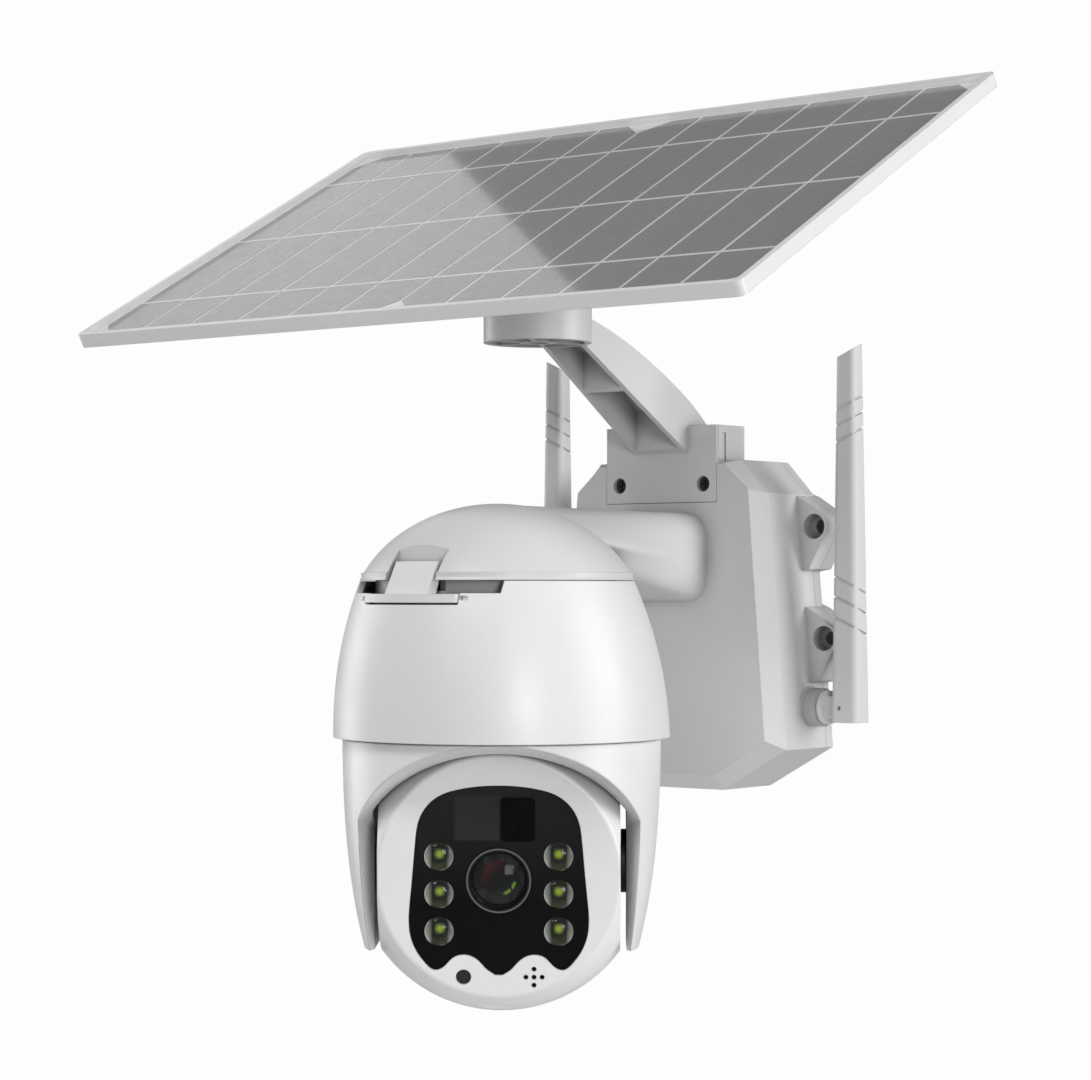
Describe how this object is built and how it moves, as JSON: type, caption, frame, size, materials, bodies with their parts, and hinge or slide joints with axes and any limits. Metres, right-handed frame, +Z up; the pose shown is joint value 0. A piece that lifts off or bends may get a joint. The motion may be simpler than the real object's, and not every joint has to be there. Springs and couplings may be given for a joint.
{
  "type": "solar-powered security camera",
  "caption": "Wall-mounted pan and tilt dome camera with a battery box, folding antennas and an adjustable solar panel on an arm.",
  "frame": {"origin": "centre of the wall face of the battery box's back cover, level with the box's middle", "axes": "+Z up, +Y into the wall, so the camera looks out along -Y; +X is to the right of someone facing the wall"},
  "size_m": [0.264, 0.184, 0.2947],
  "materials": {
    "white_shell": "satin moulded white",
    "white_sheet": "matt sheet",
    "seal_rubber": "matt",
    "zinc_steel": "zinc plated",
    "cell_wrap": "shrink wrap",
    "dark_plastic": "fine matt",
    "contact_metal": "tinned",
    "circuit_board": "solder mask",
    "motor_can": "pressed can",
    "gear_plastic": "natural",
    "black_gloss": "high gloss",
    "dark_window": "smoked",
    "lens_glass": "coated",
    "led_phosphor": "phosphor",
    "clear_optic": "clear moulded",
    "silicon_cell": "textured",
    "cover_glass": "clear"
  },
  "bodies": {
    "wall_unit": {"front_housing": "white_shell", "back_cover": "white_shell", "cover_gasket": "seal_rubber", "cover_screws": "zinc_steel", "battery_cells": "cell_wrap", "battery_cradle": "dark_plastic", "contact_strips": "contact_metal", "charge_board": "circuit_board", "antenna_sockets": "white_shell", "solar_arm": "white_shell", "arm_screws": "zinc_steel", "hood_skirt": "white_shell", "latch_pin": "zinc_steel", "pan_base": "white_shell", "base_screws": "zinc_steel", "pan_motor": "motor_can", "dome_harness": "seal_rubber", "spindle_clip": "zinc_steel"},
    "hood_latch": {"hood_latch": "white_shell"},
    "pan_pinion": {"pan_pinion": "gear_plastic"},
    "pan_yoke": {"pan_yoke": "white_shell", "pan_gear": "gear_plastic", "pan_bush": "gear_plastic", "axle_washers": "dark_plastic", "drive_axle": "zinc_steel", "idler_axle": "zinc_steel", "tilt_gear": "gear_plastic"},
    "tilt_head": {"head_front_shell": "white_shell", "head_rear_shell": "white_shell", "face_plate": "black_gloss", "sensor_window": "dark_window", "lens_ring": "dark_plastic", "lens_glass": "lens_glass", "lens_barrel": "dark_plastic", "sensor_board": "circuit_board", "led_board": "dark_plastic", "led_dies": "led_phosphor", "led_optics": "clear_optic", "microphone": "dark_plastic", "speaker": "dark_plastic", "tilt_motor": "motor_can", "head_screws": "zinc_steel"},
    "tilt_pinion": {"tilt_pinion": "gear_plastic"},
    "left_knuckle": {"left_antenna_knuckle": "white_shell"},
    "left_antenna": {"left_antenna": "white_shell"},
    "right_knuckle": {"right_antenna_knuckle": "white_shell"},
    "right_antenna": {"right_antenna": "white_shell"},
    "panel_swivel": {"swivel_base": "white_shell", "swivel_screw": "zinc_steel", "tilt_bolt": "zinc_steel", "tilt_knob": "dark_plastic"},
    "solar_panel": {"panel_tray": "white_shell", "panel_backsheet": "white_sheet", "solar_cells": "silicon_cell", "busbars": "contact_metal", "panel_glass": "cover_glass", "junction_box": "dark_plastic", "panel_bracket": "white_shell", "bracket_screws": "zinc_steel"}
  },
  "joints": [
    {"name": "pan", "type": "hinge", "parent": "wall_unit", "child": "pan_yoke", "pos_m": [0, -0.1234, 0], "axis": [0, 0, 1], "range_deg": [-214.5, 140.5]},
    {"name": "tilt", "type": "hinge", "parent": "pan_yoke", "child": "tilt_head", "pos_m": [0, -0.1234, -0.0738], "axis": [0.7986, 0.6018, 0], "range_deg": [-15, 85]},
    {"name": "pan_pinion_spin", "type": "hinge", "parent": "wall_unit", "child": "pan_pinion", "pos_m": [-0.028, -0.1234, -0.013], "axis": [0, 0, 1], "range_deg": [-430, 650]},
    {"name": "tilt_pinion_spin", "type": "hinge", "parent": "tilt_head", "child": "tilt_pinion", "pos_m": [0.01349, -0.09145, -0.06569], "axis": [0.7986, 0.6018, 0], "range_deg": [-60, 270]},
    {"name": "panel_turn", "type": "hinge", "parent": "wall_unit", "child": "panel_swivel", "pos_m": [0, -0.105, 0.1035], "axis": [0, 0, 1], "range_deg": [-60, 60]},
    {"name": "panel_tilt", "type": "hinge", "parent": "panel_swivel", "child": "solar_panel", "pos_m": [0, -0.1048, 0.12084], "axis": [1, 0, 0], "range_deg": [-28, 30]},
    {"name": "left_antenna_swivel", "type": "hinge", "parent": "wall_unit", "child": "left_knuckle", "pos_m": [-0.054, -0.0148, -0.0276], "axis": [1, 0, 0], "range_deg": [0, 180]},
    {"name": "left_antenna_fold", "type": "hinge", "parent": "left_knuckle", "child": "left_antenna", "pos_m": [-0.0603, -0.0148, -0.0276], "axis": [0, -1, 0], "range_deg": [0, 90]},
    {"name": "right_antenna_swivel", "type": "hinge", "parent": "wall_unit", "child": "right_knuckle", "pos_m": [0.054, -0.0148, -0.0276], "axis": [1, 0, 0], "range_deg": [0, 180]},
    {"name": "right_antenna_fold", "type": "hinge", "parent": "right_knuckle", "child": "right_antenna", "pos_m": [0.0603, -0.0148, -0.0276], "axis": [0, 1, 0], "range_deg": [0, 90]},
    {"name": "latch_swing", "type": "hinge", "parent": "wall_unit", "child": "hood_latch", "pos_m": [0, -0.16615, 0.00925], "axis": [1, 0, 0], "range_deg": [0, 6]}
  ],
  "couplings": [
    {"joint": "pan_pinion_spin", "follows": "pan", "ratio": -3},
    {"joint": "tilt_pinion_spin", "follows": "tilt", "ratio": 3}
  ]
}
